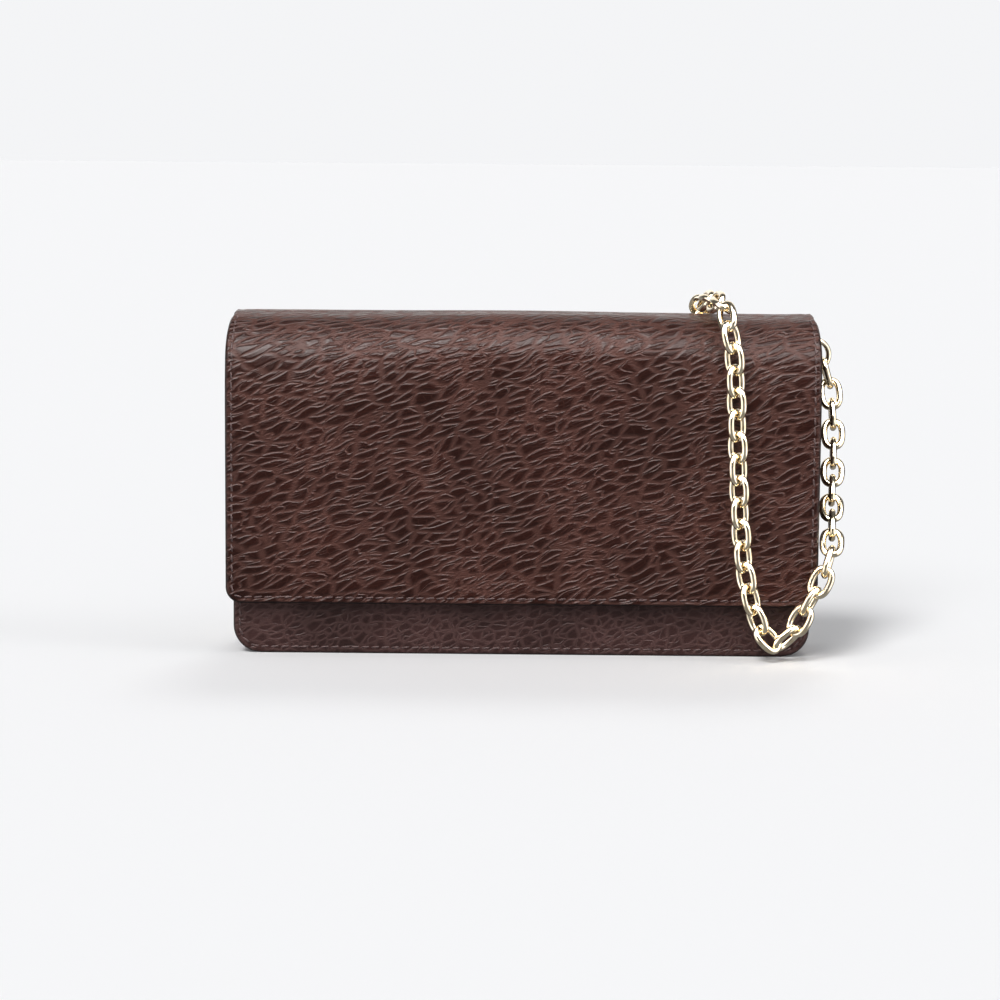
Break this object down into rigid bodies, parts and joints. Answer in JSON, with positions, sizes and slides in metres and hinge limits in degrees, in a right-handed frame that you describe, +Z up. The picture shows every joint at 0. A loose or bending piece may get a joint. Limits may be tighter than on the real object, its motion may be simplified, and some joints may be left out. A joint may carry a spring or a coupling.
{
  "type": "chain wallet",
  "caption": "Leather flap wallet with a press stud, card slots, open compartments, a zipped coin pocket and a chain strap worn over the flap.",
  "frame": {"origin": "middle of the base strip's underside, on the surface the wallet stands on", "axes": "+X along the wallet's width, to the right of someone who faces the flap; +Y from the flap's face to the back; +Z up"},
  "size_m": [0.2022, 0.0888, 0.1172],
  "materials": {
    "outer_leather": "coarse pebbled grain, dark brown, semi-gloss",
    "inner_leather": "smooth, dark brown, satin",
    "board": "bonded leather board, raw",
    "fabric": "woven, dark brown",
    "light_gold": "polished pale gold plating"
  },
  "bodies": {
    "case": {"back_panel": "outer_leather", "front_panel": "outer_leather", "tab_left": "outer_leather", "tab_right": "outer_leather", "back_lining": "inner_leather", "card_slot_1": "inner_leather", "card_slot_2": "inner_leather", "card_slot_3": "inner_leather", "card_slot_4": "inner_leather", "front_lining": "inner_leather", "gusset_left": "inner_leather", "gusset_right": "inner_leather", "gusset_base": "inner_leather", "pocket_front": "inner_leather", "pocket_back": "inner_leather", "back_board": "board", "front_board": "board", "pocket_end_left": "fabric", "pocket_end_right": "fabric", "pocket_bottom": "fabric", "zip_tape_front": "fabric", "zip_tape_back": "fabric", "snap_post": "light_gold", "snap_washer": "light_gold", "zip_teeth_front": "light_gold", "zip_teeth_back": "light_gold", "zip_stop_left": "light_gold", "zip_stop_right": "light_gold", "chain_loop": "light_gold", "chain_hank": "light_gold", "chain_tail": "light_gold"},
    "flap_top": {"flap_top_leather": "outer_leather", "flap_top_lining": "inner_leather"},
    "flap": {"flap_leather": "outer_leather", "flap_board": "board", "flap_lining": "inner_leather", "snap_cap": "light_gold", "snap_socket": "light_gold"},
    "zip_slider": {"zip_slider": "light_gold"},
    "zip_pull": {"zip_pull": "light_gold"},
    "ring_left": {"ring_left": "light_gold"},
    "ring_right": {"ring_right": "light_gold"}
  },
  "joints": [
    {"name": "flap_hinge", "type": "hinge", "parent": "case", "child": "flap_top", "pos_m": [0, 0.016, 0.11], "axis": [-1, 0, 0], "range_deg": [0, 90], "deforming": ["chain_loop"]},
    {"name": "flap_fold", "type": "hinge", "parent": "flap_top", "child": "flap", "pos_m": [0, -0.0174, 0.11], "axis": [-1, 0, 0], "range_deg": [0, 90]},
    {"name": "zip_slide", "type": "slide", "parent": "case", "child": "zip_slider", "axis": [-1, 0, 0], "range_m": [0, 0.14]},
    {"name": "zip_pull_flip", "type": "hinge", "parent": "zip_slider", "child": "zip_pull", "pos_m": [0.074, 0, 0.0889], "axis": [0, 1, 0], "range_deg": [0, 150]},
    {"name": "ring_left_swing", "type": "hinge", "parent": "case", "child": "ring_left", "pos_m": [-0.0951, 0.01385, 0.096], "axis": [0, 0, 1], "range_deg": [-15, 15]},
    {"name": "ring_right_swing", "type": "hinge", "parent": "case", "child": "ring_right", "pos_m": [0.0951, 0.01385, 0.096], "axis": [0, 0, 1], "range_deg": [-15, 15]}
  ],
  "couplings": [
    {"joint": "flap_fold", "follows": "flap_hinge", "ratio": 1}
  ]
}
